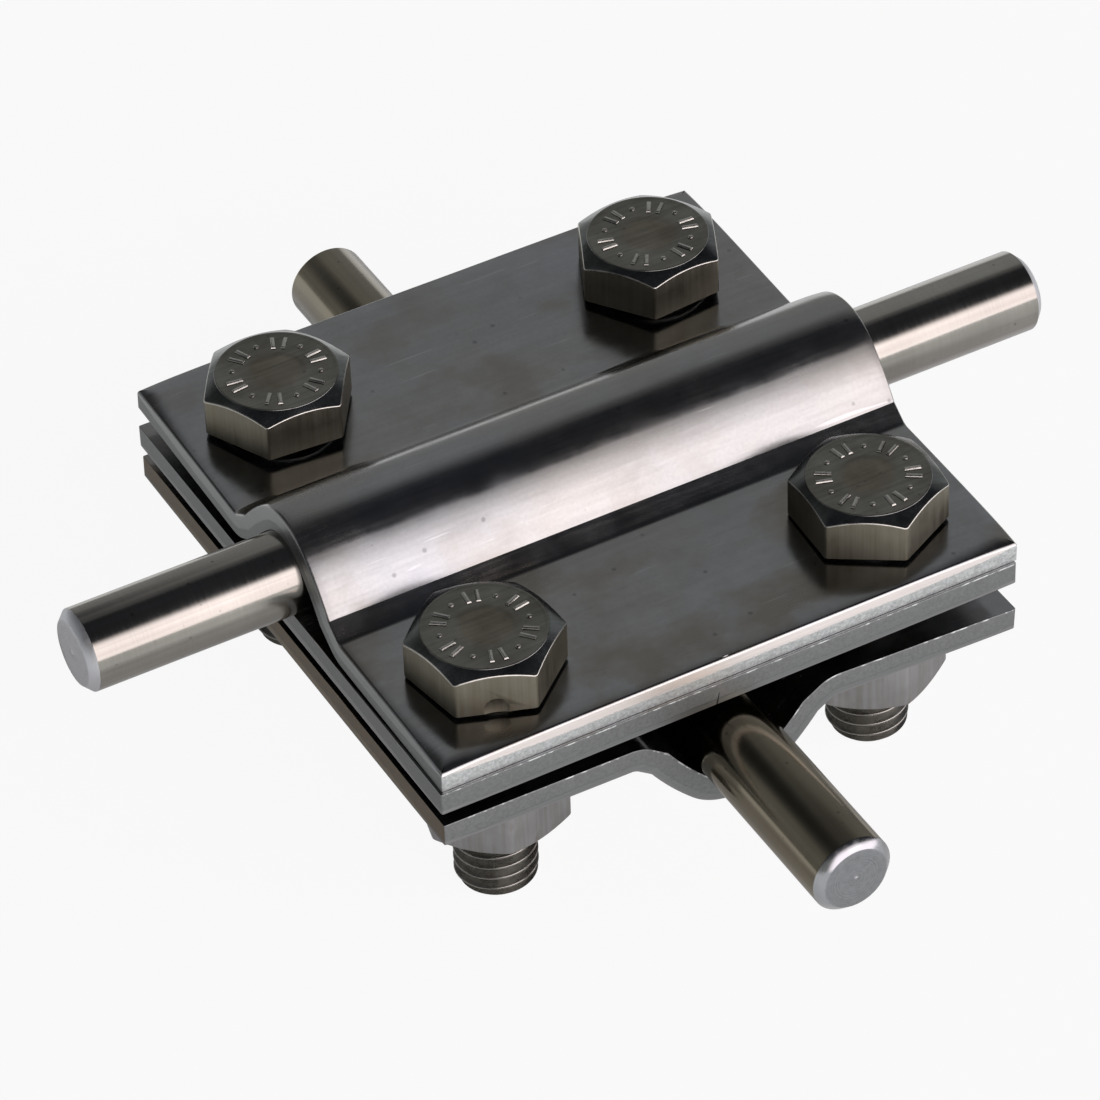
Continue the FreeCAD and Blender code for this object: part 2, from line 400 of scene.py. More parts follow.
class Steel(Nodes):
    """A procedural steel, built up node by node on the piece's own coordinates."""

    # The colour sockets of a Mix node
    MIX_FIRST, MIX_SECOND, MIX_RESULT = 6, 7, 2

    def __init__(self, name):
        self.material = bpy.data.materials.new(name)
        self.material.use_nodes = True
        super().__init__(self.material.node_tree)
        self.principled = self.nodes["Principled BSDF"]
        self.principled.inputs["Metallic"].default_value = 1.0
        self.coordinates = self.add("TexCoord", {}, "Object")

    def stretched(self, scale, turn=0.0):
        """Object coordinates turned about Z and scaled, along each axis or all alike."""
        inputs = {"Vector": self.coordinates, "Scale": shade(scale), "Rotation": (0, 0, turn)}
        return self.add("Mapping", inputs)

    def noise(self, scale, detail=3.0, roughness=0.55, turn=0.0):
        inputs = {"Scale": 1.0, "Detail": detail, "Roughness": roughness}
        return self.add("TexNoise", {"Vector": self.stretched(scale, turn), **inputs}, "Fac")

    def pits(self, scale, start, end):
        """Round spots, nought inside and one outside."""
        spots = self.add("TexVoronoi", {"Vector": self.stretched(scale), "Scale": 1.0}, "Distance")
        return self.mask(spots, start, end)

    def attribute(self, name):
        return self.add("Attribute", {}, "Fac", attribute_name=name)

    def mask(self, fac, start, end):
        """Nought up to the start and one from the end on."""
        return self.grey(fac, 0.0, 1.0, start, end)

    def pitted(self, tone, pits, share, colour):
        """The tone, with a share of the colour inside the pits."""
        return self.mixed(self.grey(pits, share, 0.0), tone, colour)

    def spread(self, fac, low, high):
        """A noise's usual range moved to low..high."""
        return self.grey(fac, low, high, 0.3, 0.7)

    def shades(self, fac, low, high, start=0.3, end=0.7):
        """From one shade to another as the factor goes from start to end."""
        return self.ramp(fac, [(start, shade(low)), (end, shade(high))])

    def mixed(self, fac, first, second, blend="MIX"):
        """Two colours mixed by a factor. Each is a colour or another node's output."""
        first, second = ((*c, 1) if isinstance(c, tuple) else c for c in (first, second))
        inputs = {"Factor": fac, self.MIX_FIRST: first, self.MIX_SECOND: second}
        return self.add("Mix", inputs, self.MIX_RESULT, data_type="RGBA", blend_type=blend)

    def varied(self, tone, *shades):
        """The tone times the shades."""
        return self.mixed(1.0, tone, self.shades(*shades), "MULTIPLY")

    def finish(self, tone, rough, *bumps):
        """The material, with a bump from the height, the distance in mm and the strength of each."""
        normal = None
        for height, distance, strength in bumps:
            inputs = {"Height": height, "Distance": distance * MM, "Strength": strength}
            if normal is not None:
                inputs["Normal"] = normal
            normal = self.add("Bump", inputs, "Normal")
        for name, source in (("Base Color", tone), ("Roughness", rough), ("Normal", normal)):
            self.links.new(source, self.principled.inputs[name])
        return self.material


def rolled_steel(name, colour, grain_turn=0.0, clean_above=1.0):
    """Cold rolled sheet: dark, nearly mirror-like, with stains, rolling streaks, small scratches and pits."""
    s = Steel(name)
    soft = s.noise(230, 5.0, 0.62)
    cloud = s.noise(48, 4.0)
    grain = s.noise((160, 3800, 160), turn=grain_turn)
    streak = s.noise((45, 1100, 700), 4.0, 0.6, grain_turn)
    speckle = s.noise(3000, 2.0)
    stain = s.noise((75, 95, 75), 6.0, 0.58, 0.5)
    one_way = s.noise((95, 2300, 95), 1.0, turn=0.42)
    other_way = s.noise((120, 2600, 120), 1.0, turn=-0.95)
    scratch = s.math("MAXIMUM", s.mask(one_way, 0.73, 0.78), s.mask(other_way, 0.74, 0.79))
    pits = s.pits(300, 0.04, 0.09)
    height = s.add("SeparateXYZ", {0: s.coordinates}, "Z")
    low = s.grey(height, 1.0, 0.35, clean_above, clean_above + 1.5 * MM)
    warm, cool = tinted(colour, (1.02, 1.0, 0.96), 0.98), tinted(colour, (0.98, 1.0, 1.02), 1.03)
    tone = s.shades(cloud, warm, cool, 0.35, 0.65)
    mottle = s.mixed(low, shade(0.98), s.shades(soft, (0.85, 0.84, 0.82), (1.08, 1.09, 1.11)))
    tone = s.mixed(1.0, tone, mottle, "MULTIPLY")
    tone = s.varied(tone, streak, 0.94, 1.04)
    tone = s.varied(tone, speckle, 0.97, 1.03)
    brown = tinted(colour, (1.06, 0.98, 0.86), 0.74)
    tone = s.mixed(s.times(low, s.grey(stain, 0.0, 0.95, 0.50, 0.63)), tone, brown)
    tone = s.mixed(s.times(scratch, 0.22), tone, scaled(colour, 1.9))
    tone = s.pitted(tone, pits, 0.45, scaled(colour, 0.25))
    stained = s.grey(stain, 0.0, 0.06, 0.53, 0.68)
    rough = s.plus(s.spread(soft, 0.15, 0.25), s.spread(grain, -0.03, 0.04), stained)
    return s.finish(
        tone, rough, (s.times(cloud, low), 0.035, 0.35), (grain, 0.002, 0.5), (speckle, 0.001, 0.5),
        (scratch, 0.002, 0.5), (pits, 0.01, 0.5),
    )


def sheared_steel(name, bright, dark, bright_share, rim, coarse=0.35, glint=0.0):
    """A sheared edge by its depth in the sheet: rolled rim, burnished band, torn grainy band, thin burr with
    painted glints in dashes.
    """
    s = Steel(name)
    depth, corner = s.attribute("depth"), s.attribute("corner")
    wander = s.noise((130, 130, 60), 5.0, 0.66)
    grain = s.noise(3300, 3.0, 0.65)
    drag = s.noise((70, 70, 4200), 3.0, 0.6)
    dashes = s.noise(1100, 3.0, 0.6)
    wavy = s.plus(depth, s.spread(wander, -0.035, 0.035), s.times(corner, 0.30))
    band = s.mask(wavy, bright_share - 0.02, bright_share + 0.02)
    torn = s.shades(grain, scaled(dark, 1 - 0.26 * coarse), scaled(dark, 1 + 0.28 * coarse), 0.3, 0.72)
    tone = s.mixed(band, s.shades(drag, scaled(bright, 0.92), scaled(bright, 1.04)), torn)
    seam = s.times(s.mask(wavy, bright_share - 0.05, bright_share), s.grey(band, 1.0, 0.0))
    tone = s.mixed(s.times(seam, s.grey(grain, 0.0, 0.8, 0.45, 0.60)), tone, scaled(dark, 0.5))
    rolled = s.math("SUBTRACT", depth, s.times(corner, 0.14))
    tone = s.mixed(s.grey(rolled, 1.0, 0.0, 0.07, 0.13), tone, rim)
    tone = s.mixed(s.grey(depth, 0.0, 0.5, 0.965, 0.985), tone, scaled(dark, 1.7))
    # Painted highlight: bright dashes near the inside rim stand in for the burr's glints
    painted_burr_glints = s.times(s.grey(depth, 0.0, glint, 0.93, 0.95), s.mask(dashes, 0.50, 0.60))
    tone = s.mixed(painted_burr_glints, tone, scaled(dark, 3.4))
    return s.finish(tone, s.grey(band, 0.42, 0.52), (grain, 0.02, 0.7 * coarse), (band, 0.03, 0.35))


def drawn_steel(name, colour, along):
    """A drawn conductor: fine rings of grain round it, drawing lines along it, small dark pits."""
    s = Steel(name)
    rings = s.noise((5200, 240, 240) if along == 0 else (240, 5200, 240), 2.0, 0.5)
    lines = s.noise((14, 1500, 1500) if along == 0 else (1500, 14, 1500), 3.0, 0.6)
    cloud = s.noise(90, 4.0)
    pits = s.pits(520, 0.05, 0.10)
    tone = s.shades(cloud, scaled(colour, 0.88), scaled(colour, 1.08))
    tone = s.varied(tone, rings, 0.96, 1.03)
    tone = s.varied(tone, lines, (0.90, 0.89, 0.87), 1.07)
    tone = s.pitted(tone, pits, 0.5, scaled(colour, 0.2))
    rough = s.plus(s.spread(rings, 0.11, 0.16), s.spread(cloud, -0.02, 0.04))
    return s.finish(tone, rough, (lines, 0.0025, 0.5), (rings, 0.0006, 0.5), (pits, 0.008, 0.4))


def turned_steel(name, colour, chamfer_shift):
    """A turned face: fine rings about the conductor's axis, and a lighter chamfer with a painted highlight,
    rougher or smoother.
    """
    s = Steel(name)
    radius = s.attribute("radius")
    rings = s.add("TexNoise", {"W": radius, "Scale": 7000.0, "Detail": 3.0}, "Fac", noise_dimensions="1D")
    grain = s.noise(1800, 3.0, 0.6)
    chamfer = s.mask(radius, 3.10 * MM, 3.25 * MM)
    tone = s.shades(grain, scaled(colour, 0.9), scaled(colour, 1.1))
    tone = s.varied(tone, rings, 0.89, 1.08, 0.35, 0.65)
    # Painted highlight: the chamfer's ring is lighter, for the glint that it catches
    tone = s.mixed(s.grey(chamfer, 0.0, 0.7), tone, scaled(colour, 1.6))
    rough = s.plus(s.spread(grain, 0.26, 0.38), s.times(chamfer, chamfer_shift))
    return s.finish(tone, rough, (rings, 0.004, 0.5), (grain, 0.002, 0.5))


def forged_steel(name, colour):
    """Cold headed faces by the distance from the axis: stained dish, olive ring, darker blue chamfer."""
    s = Steel(name)
    radius = s.attribute("radius")
    cloud = s.noise(230, 5.0, 0.62)
    speckle = s.noise(2400, 3.0, 0.6)
    marks = s.noise((140, 2600, 140), 2.0, turn=0.7)
    pits = s.pits(560, 0.05, 0.11)
    edge = s.plus(radius, s.spread(cloud, -0.5 * MM, 0.5 * MM))
    dish = s.grey(edge, 1.0, 0.0, 2.3 * MM, 3.0 * MM)
    chamfer = s.mask(radius, 5.75 * MM, 5.90 * MM)
    brown = tinted(colour, (1.05, 0.98, 0.86), 0.60)
    olive = tinted(colour, (1.0, 1.0, 0.96), 0.62)
    blue = tinted(colour, (0.90, 0.98, 1.06), 0.80)
    tone = s.mixed(chamfer, s.mixed(dish, olive, brown), blue)
    tone = s.varied(tone, cloud, (0.74, 0.73, 0.70), 1.20, 0.32, 0.68)
    tone = s.varied(tone, marks, 0.86, 1.15)
    tone = s.pitted(tone, pits, 0.5, scaled(colour, 0.25))
    rough = s.plus(s.spread(cloud, 0.15, 0.27), s.spread(speckle, -0.02, 0.04))
    return s.finish(
        tone, rough, (cloud, 0.03, 0.4), (marks, 0.003, 0.5), (speckle, 0.0025, 0.45), (pits, 0.01, 0.4)
    )


def hexagon_steel(name, colour):
    """Flats of a drawn hexagon: upright grain, brown in the grain's depths, small dark stains."""
    s = Steel(name)
    grain = s.noise((2600, 2600, 70), 4.0, 0.6)
    cloud = s.noise(260, 4.0, 0.6)
    stain = s.noise((420, 420, 200), 3.0, 0.6)
    fine = s.noise((4200, 4200, 900), 2.0, 0.6)
    tone = s.shades(grain, tinted(colour, (1.0, 0.97, 0.90), 0.84), scaled(colour, 1.04), 0.32, 0.68)
    tone = s.varied(tone, cloud, (0.84, 0.83, 0.80), (1.06, 1.06, 1.05))
    tone = s.mixed(s.grey(stain, 0.0, 0.5, 0.62, 0.80), tone, tinted(colour, (1.0, 0.8, 0.6), 0.5))
    rough = s.plus(s.spread(grain, 0.42, 0.50), s.spread(cloud, -0.03, 0.05))
    return s.finish(tone, rough, (grain, 0.005, 0.5), (fine, 0.002, 0.5))


def thread_steel(name, colour):
    """Rolled thread, or a lighter copy for painted glints on marks and arcs: a cloudy tone with a fine grain.
    """
    s = Steel(name)
    cloud = s.noise(420, 4.0, 0.6)
    grain = s.noise(2300, 3.0, 0.6)
    tone = s.varied(s.shades(cloud, scaled(colour, 0.62), scaled(colour, 0.98)), grain, 0.88, 1.1)
    return s.finish(tone, s.spread(cloud, 0.20, 0.34), (cloud, 0.02, 0.5), (grain, 0.004, 0.5))


# Plates


def grown_by(bm, vert, step):
    """A new point drawn out of the last one."""
    grown = bmesh.ops.extrude_vert_indiv(bm, verts=[vert])["verts"][0]
    bmesh.ops.translate(bm, verts=[grown], vec=step)
    return grown


def steps_over(length, fine_first=False):
    """Steps that cover a length, small ones next to its last edge, or next to both."""
    first = EDGE_STEPS if fine_first else []
    last = EDGE_STEPS[::-1]
    rest = length - sum(first) - sum(last)
    count = max(1, round(rest / STEP))
    return first + [rest / count] * count + last


def swept_along(bm, length):
    """The outline in bm drawn out along Y, centred."""
    bmesh.ops.translate(bm, verts=bm.verts, vec=Y * (-length / 2))
    edges = bm.edges[:]
    for step in steps_over(length, True):
        grown = bmesh.ops.extrude_edge_only(bm, edges=edges)["geom"]
        edges = only(grown, bmesh.types.BMEdge)
        bmesh.ops.translate(bm, verts=only(grown, bmesh.types.BMVert), vec=Y * step)
    bmesh.ops.recalc_face_normals(bm, faces=bm.faces)
    if sum(f.normal.z * f.calc_area() for f in bm.faces) < 0:
        bmesh.ops.reverse_faces(bm, faces=bm.faces)


def flat_face(side):
    """The flat outside face of a plain plate, looking up."""
    bm = bmesh.new()
    tip = bm.verts.new((-side / 2, 0, 0))
    for step in steps_over(side, True):
        tip = grown_by(bm, tip, X * step)
    swept_along(bm, side)
    return bm


def channelled_face(depth, bend_radius, shift, side, rod_radius):
    """The outside face of a clamp plate, crest up, channel along Y, with the conductor's axis on Y."""
    sizes = bpy.context.scene.clamp_sizes
    phi, spring, sheet, foot = sizes.flank_angle, sizes.flange_spring, sizes.sheet, sizes.foot_radius
    crest = rod_radius + sizes.channel_play
    bm = bmesh.new()
    for way, reach in ((1, side / 2 - shift), (-1, side / 2 + shift)):

        def slope(angle):
            return Vector((way * cos(angle), 0, -sin(angle)))

        def upright(angle):
            return Vector((way * sin(angle), 0, cos(angle)))

        def bent(tip, centre, angle, steps):
            return bmesh.ops.spin(
                bm, geom=[tip], cent=centre, axis=Y, angle=way * angle, steps=steps
            )["geom_last"][0]

        # The corner where the straight inside of the flank meets the flat, and the bend's start outside
        centre = Z * (depth - crest)
        inner_start = centre + upright(phi) * crest
        corner = inner_start + slope(phi) * (inner_start.z / sin(phi))
        tangent = (bend_radius + sheet) * tan((phi + spring) / 2)
        crease = corner - slope(phi) * tangent + upright(phi) * sheet

        # The crest, then the bowed flank down to the crease
        lean = phi - sizes.flank_bow
        tip = bent(bm.verts.new((0, 0, depth + sheet)), centre, lean, 18)
        chord = crease - tip.co
        turn = 2 * (atan2(-chord.z, way * chord.x) - lean)
        centre = tip.co - upright(lean) * (chord.length / 2 / sin(turn / 2))
        tip = bent(tip, centre, turn, 8)

        # The facet under the crease, the tight bend and the flange
        lean = phi - sizes.crease
        fall = bend_radius * (1 - cos(phi + spring)) - foot * (1 - cos(lean + spring))
        facet = fall / sin(lean + spring)
        for _ in range(2):
            tip = grown_by(bm, tip, slope(lean) * (facet / 2))
        tip = bent(tip, tip.co + upright(lean) * foot, -(lean + spring), 8)
        run = facet * cos(lean + spring) + foot * sin(lean + spring)
        flange = (reach - abs(corner.x)) / cos(spring) - tangent
        flange -= run - bend_radius * sin(phi + spring)
        for step in steps_over(flange):
            tip = grown_by(bm, tip, slope(-spring) * step)
    bmesh.ops.remove_doubles(bm, verts=bm.verts, dist=MERGE)
    bmesh.ops.translate(bm, verts=bm.verts, vec=Z * (rod_radius - depth))
    swept_along(bm, side)
    return bm


def plate_from(bm, reaches, roll_over, dip):
    """A closed plate from its outside face, and a guide to that face.

    The sheet is thickened inwards, its upright corners are rounded, its outside rim is rolled over and
    sinks towards the corners, and its inside rim keeps a small edge.
    """
    sizes = bpy.context.scene.clamp_sizes
    sheet = sizes.sheet
    guide = BVHTree.FromBMesh(bm)
    bmesh.ops.solidify(bm, geom=bm.faces[:], thickness=sheet)
    bmesh.ops.recalc_face_normals(bm, faces=bm.faces)

    def on_rim(face):
        return abs(face.normal.dot(guide.find_nearest(face.calc_center_median())[1])) < 0.5

    rim = {face for face in bm.faces if on_rim(face)}
    uprights = [
        edge for edge in bm.edges
        if all(face in rim for face in edge.link_faces) and edge.calc_face_angle(0) > radians(60)
    ]
    rounded(bm, uprights, sizes.corner_radius, 8)
    rim = {face for face in bm.faces if on_rim(face)}
    outside, inside = [], []
    for edge in bm.edges:
        kinds = [face in rim for face in edge.link_faces]
        if kinds.count(True) == 1 and len(kinds) == 2:
            middle = (edge.verts[0].co + edge.verts[1].co) / 2
            deep = guide.find_nearest(middle)[3] > sheet / 2
            (inside if deep else outside).append(edge)
    rounded(bm, outside, roll_over, 7)
    rounded(bm, [edge for edge in inside if edge.is_valid], INSIDE_EDGE, 2)

    half = max(vert.co.y for vert in bm.verts)
    for vert in bm.verts:
        _, normal, _, distance = guide.find_nearest(vert.co)
        gap_x = min(abs(reaches[0] - vert.co.x), abs(reaches[1] + vert.co.x))
        gap_y = abs(half - abs(vert.co.y))
        rim_share = max(0.0, 1 - min(gap_x, gap_y) / RIM_REACH) ** 2
        sink = dip * exp(-hypot(gap_x, gap_y) / DIP_REACH)
        sink += roll_over * (0.4 + 0.1 * noise.noise(vert.co / (9 * MM)))
        vert.co -= normal * sink * rim_share * max(0.0, 1 - distance / sheet)
    return guide


def bolt_axes():
    """Where each bolt stands, by station."""
    axes = {}
    for joint in frame["record"]["behaviour"]["joints"]:
        if joint["type"] == "hinge":
            axes[joint["child"].split("_")[0]] = Vector(joint["pos_m"][:2])
    return axes


def steel_plate(node, bm, guide, place, materials, nicks=(), burrs=()):
    """The plate in its place, drilled, with its sheared faces marked, standing for its node.

    Nicks run up from the front edge's lower rim at each X, burrs stand out of its upper rim.
    """
    sizes = bpy.context.scene.clamp_sizes
    moved(bm, place)
    low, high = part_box(node)
    for x in burrs:
        rim = [v.co for v in bm.verts if v.co.y < low.y + sizes.sheet / 4 and abs(v.co.x - x) < sizes.sheet]
        top = max(rim, key=lambda co: co.z)
        lump = bmesh.new()
        matrix = at(x, top.y, top.z) @ Matrix.Diagonal(BURR)
        bmesh.ops.create_icosphere(lump, subdivisions=3, radius=1.0, matrix=matrix)
        bm = combined(bm, lump, "UNION")
    drills = bmesh.new()
    for x in nicks:
        lean = Matrix.Rotation(NICK_LEAN, 4, "Y") @ Matrix.Diagonal((1, 4, 1, 1))
        bmesh.ops.create_cone(
            drills, cap_ends=True, segments=4, radius1=NICK_FOOT, radius2=NICK_TIP, depth=NICK_LENGTH,
            matrix=at(x, low.y, low.z + NICK_MIDDLE) @ lean,
        )
    for axis in bolt_axes().values():
        bmesh.ops.create_cone(
            drills, cap_ends=True, segments=64, radius1=sizes.hole_radius, radius2=sizes.hole_radius,
            depth=high.z - low.z + 10 * MM, matrix=at(axis.x, axis.y, (low.z + high.z) / 2),
        )
    bm = combined(bm, drills, "DIFFERENCE")
    piece = finished(bm, node + "_dressed", materials, smooth_angle=14.5)
    mesh = piece.data
    back = place.inverted()
    turn = back.to_3x3()
    # How deep in the sheet each point lies, and how near it is to a corner
    for name in ("depth", "corner"):
        mesh.attributes.new(name, "FLOAT", "POINT")
    depth, corner = mesh.attributes["depth"], mesh.attributes["corner"]
    for vert in mesh.vertices:
        distance = guide.find_nearest(back @ vert.co)[3]
        depth.data[vert.index].value = min(1.0, distance / sizes.sheet)
        gap_x = max(0.0, min(vert.co.x - low.x, high.x - vert.co.x))
        gap_y = max(0.0, min(vert.co.y - low.y, high.y - vert.co.y))
        corner.data[vert.index].value = exp(-hypot(gap_x, gap_y) / CORNER_REACH)
    # The second steel is for the front and back edges, the third for the side edges
    for face in mesh.polygons:
        normal = guide.find_nearest(back @ face.center)[1]
        if abs((turn @ face.normal).dot(normal)) < SHEARED_BELOW:
            face.material_index = 1 if abs(face.normal.y) > abs(face.normal.x) else 2
    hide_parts(node)
    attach(piece, "clamp")


def plate_steels(plate, rolled, front, side):
    """The steels of a plate's faces, of its front and back edges and of its side edges.

    Each is given what its kind of steel takes after the name.
    """
    return [
        rolled_steel(plate + " plate, rolled face", *rolled),
        sheared_steel(plate + " plate, front edge", *front),
        sheared_steel(plate + " plate, side edge", *side),
    ]


def middle_of(node):
    low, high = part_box(node)
    return (low + high) / 2


class CLAMPBLOCK_OT_clamp_plates(bpy.types.Operator):
    """Make the two channelled clamp plates"""

    bl_idname = "clampblock.clamp_plates"
    bl_label = "Clamp plates"

    def execute(self, context):
        sizes, colours = context.scene.clamp_sizes, context.scene.clamp_colours
        sheet, torn = tuple(colours.plate), colours.fracture
        middle_low, middle_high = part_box("middle_plate")
        side = middle_high.x - middle_low.x
        upper_rod, lower_rod = middle_of("upper_rod"), middle_of("lower_rod")
        rod_low, rod_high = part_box("upper_rod")
        rod_radius = (rod_high.z - rod_low.z) / 2

        shift = sizes.upper_channel_shift
        bm = channelled_face(sizes.upper_channel_depth, sizes.upper_bend_radius, shift, side, rod_radius)
        guide = plate_from(bm, (side / 2 - shift, side / 2 + shift), sizes.roll_over, dip=0.45 * MM)
        place = at(middle_of("upper_clamp_plate").x, upper_rod.y, upper_rod.z)
        place = place @ Matrix.Rotation(sizes.upper_tilt, 4, "X") @ Matrix.Rotation(pi / 2, 4, "Z")
        steels = plate_steels(
            "upper", (sheet, 0.0, middle_high.z + 3.2 * MM),
            (tuple(colours.burnish), scaled(torn, 2.1), 0.53, sheet, 1.0),
            (scaled(torn, 1.15), scaled(torn, 0.85), 0.6, scaled(sheet, 0.6)),
        )
        steel_plate("upper_clamp_plate", bm, guide, place, steels, burrs=(0.0,))

        bm = channelled_face(sizes.lower_channel_depth, sizes.lower_bend_radius, 0.0, side, rod_radius)
        guide = plate_from(bm, (side / 2, side / 2), roll_over=0.12 * MM, dip=0.10 * MM)
        place = at(lower_rod.x, middle_of("middle_plate").y, lower_rod.z)
        place = place @ Matrix.Rotation(sizes.lower_tilt, 4, "Y") @ Matrix.Rotation(pi, 4, "Y")
        steels = plate_steels(
            "lower", (sheet, pi / 2), (scaled(torn, 1.0), scaled(torn, 0.9), 0.35, sheet, 0.5, 0.9),
            ((0.20, 0.17, 0.12), (0.16, 0.135, 0.10), 0.35, scaled(sheet, 0.6)),
        )
        steel_plate("lower_clamp_plate", bm, guide, place, steels)
        return {"FINISHED"}


class CLAMPBLOCK_OT_middle_plate(bpy.types.Operator):
    """Make the flat plate between the conductors"""

    bl_idname = "clampblock.middle_plate"
    bl_label = "Middle plate"

    def execute(self, context):
        colours = context.scene.clamp_colours
        sheet, torn = tuple(colours.plate), colours.fracture
        low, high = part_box("middle_plate")
        side = high.x - low.x
        centre = middle_of("middle_plate")
        bm = flat_face(side)
        guide = plate_from(bm, (side / 2, side / 2), roll_over=0.12 * MM, dip=0.08 * MM)
        place = at(centre.x, centre.y, low.z) @ Matrix.Rotation(pi, 4, "Y")
        steels = plate_steels(
            "middle", (sheet,), (scaled(torn, 0.95), scaled(torn, 0.88), 0.3, sheet, 0.5, 0.8),
            (scaled(torn, 1.1), scaled(torn, 0.85), 0.3, sheet),
        )
        steel_plate("middle_plate", bm, guide, place, steels, nicks=(-1.15 * MM,))
        return {"FINISHED"}


# Conductors


class CLAMPBLOCK_OT_conductors(bpy.types.Operator):
    """Make the two drawn conductors with their turned ends"""

    bl_idname = "clampblock.conductors"
    bl_label = "Conductors"

    def execute(self, context):
        sizes, colours = context.scene.clamp_sizes, context.scene.clamp_colours
        nib, chamfer, soft = sizes.nib_height, sizes.conductor_chamfer, SOFT_EDGE
        rod, turned = tuple(colours.rod), colours.turned
        # Each conductor's direction, tone, ends' tone and the shift of its chamfers' roughness
        for node, along, tone, ends, shift in (
            # The upper ends' lighter tone is painted light and the lower ends' darker tone painted shade, on
            # the one turned steel
            ("upper_rod", 0, rod, scaled(turned, 1.3), 0.14),
            # The lower conductor's darker, browner drawn steel is in part painted shade, for the shade it
            # lies in under the plates
            ("lower_rod", 1, tinted(rod, (0.62, 0.58, 0.48)), scaled(turned, 0.85), -0.12),
        ):
            low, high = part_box(node)
            radius = (high.z - low.z) / 2
            half = (high - low)[along] / 2 - nib
            end = [(r * MM, nib * share) for r, share in NIB] + [
                (radius - chamfer - soft, 0.0), (radius - chamfer + soft * 0.7, -soft * 0.7),
                (radius - soft * 0.5, -chamfer + soft * 0.5), (radius, -chamfer - soft),
            ]
            steps = [(r, half + z) for r, z in end]
            bm = lathe(steps + [(r, -z) for r, z in steps[::-1]], 128)
            turn = Matrix.Rotation(pi / 2, 4, "Y") if along == 0 else Matrix.Rotation(-pi / 2, 4, "X")
            centre = (low + high) / 2
            moved(bm, at(*centre) @ turn)
            name = node.replace("_", " ")
            piece = finished(bm, node + "_dressed", [
                drawn_steel(name + ", drawn", tone, along), turned_steel(name + ", turned end", ends, shift)
            ])
            mark_radius(piece.data, centre, along)
            for face in piece.data.polygons:
                if abs(face.normal[along]) > 0.6:
                    face.material_index = 1
            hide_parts(node)
            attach(piece, "clamp")
        return {"FINISHED"}


# Bolts and nuts


def hexagon_body(outline, low, height, turn):
    """A hexagonal prism from the given level up, turned down to the outline, with its edges softened."""
    width = bpy.context.scene.fastener_sizes.hex_width
    corner = width / 2 / cos(pi / 6)
    prism = bmesh.new()
    bmesh.ops.create_cone(
        prism, cap_ends=True, segments=6, radius1=corner, radius2=corner, depth=height,
        matrix=at(0, 0, height / 2),
    )
    first = max(prism.verts, key=lambda vert: vert.co.x)
    square_on = Matrix.Rotation(turn - atan2(first.co.y, first.co.x), 3, "Z")
    bmesh.ops.rotate(prism, verts=prism.verts, cent=(0, 0, 0), matrix=square_on)
    upright = [e for e in prism.edges if abs(e.verts[0].co.z - e.verts[1].co.z) > height / 2]
    rounded(prism, upright, HEXAGON_EDGE, 3)
    moved(prism, at(0, 0, low))
    body = combined(prism, moved(lathe(outline), Matrix.Rotation(turn, 4, "Z")), "INTERSECT")
    # The arcs where the chamfer cuts the flats
    arcs = []
    for edge in body.edges:
        if len(edge.link_faces) == 2:
            lean = sorted(abs(face.normal.z) for face in edge.link_faces)
            if lean[0] < 0.2 and 0.6 < lean[1] < 0.95:
                arcs.append(edge)
    rounded(body, arcs, ARC_EDGE, 3, clamped=True)
    return body


def head_marks(height, station):
    """A plain ring of raised strokes and pips for the top of a head, its strokes in pairs."""
    bm = bmesh.new()

    def place(degrees):
        turn = Matrix.Rotation(radians(degrees), 4, "Z")
        return turn @ at(MARK_RING, 0, height)

    for index in range(6):
        middle = index * 60 + 17 * station
        for lean in (-7.5, 7.5):
            matrix = place(middle + lean) @ Matrix.Diagonal(STROKE)
            bar = bmesh.ops.create_cube(bm, size=1.0, matrix=matrix)["verts"]
            edges = {edge for vert in bar for edge in vert.link_edges}
            top = [edge for edge in edges if all(vert.co.z > height for vert in edge.verts)]
            rounded(bm, top, 0.15 * MM, 3)
        matrix = place(middle + 30) @ Matrix.Diagonal(PIP)
        bmesh.ops.create_uvsphere(bm, u_segments=16, v_segments=8, radius=1.0, matrix=matrix)
    return bm


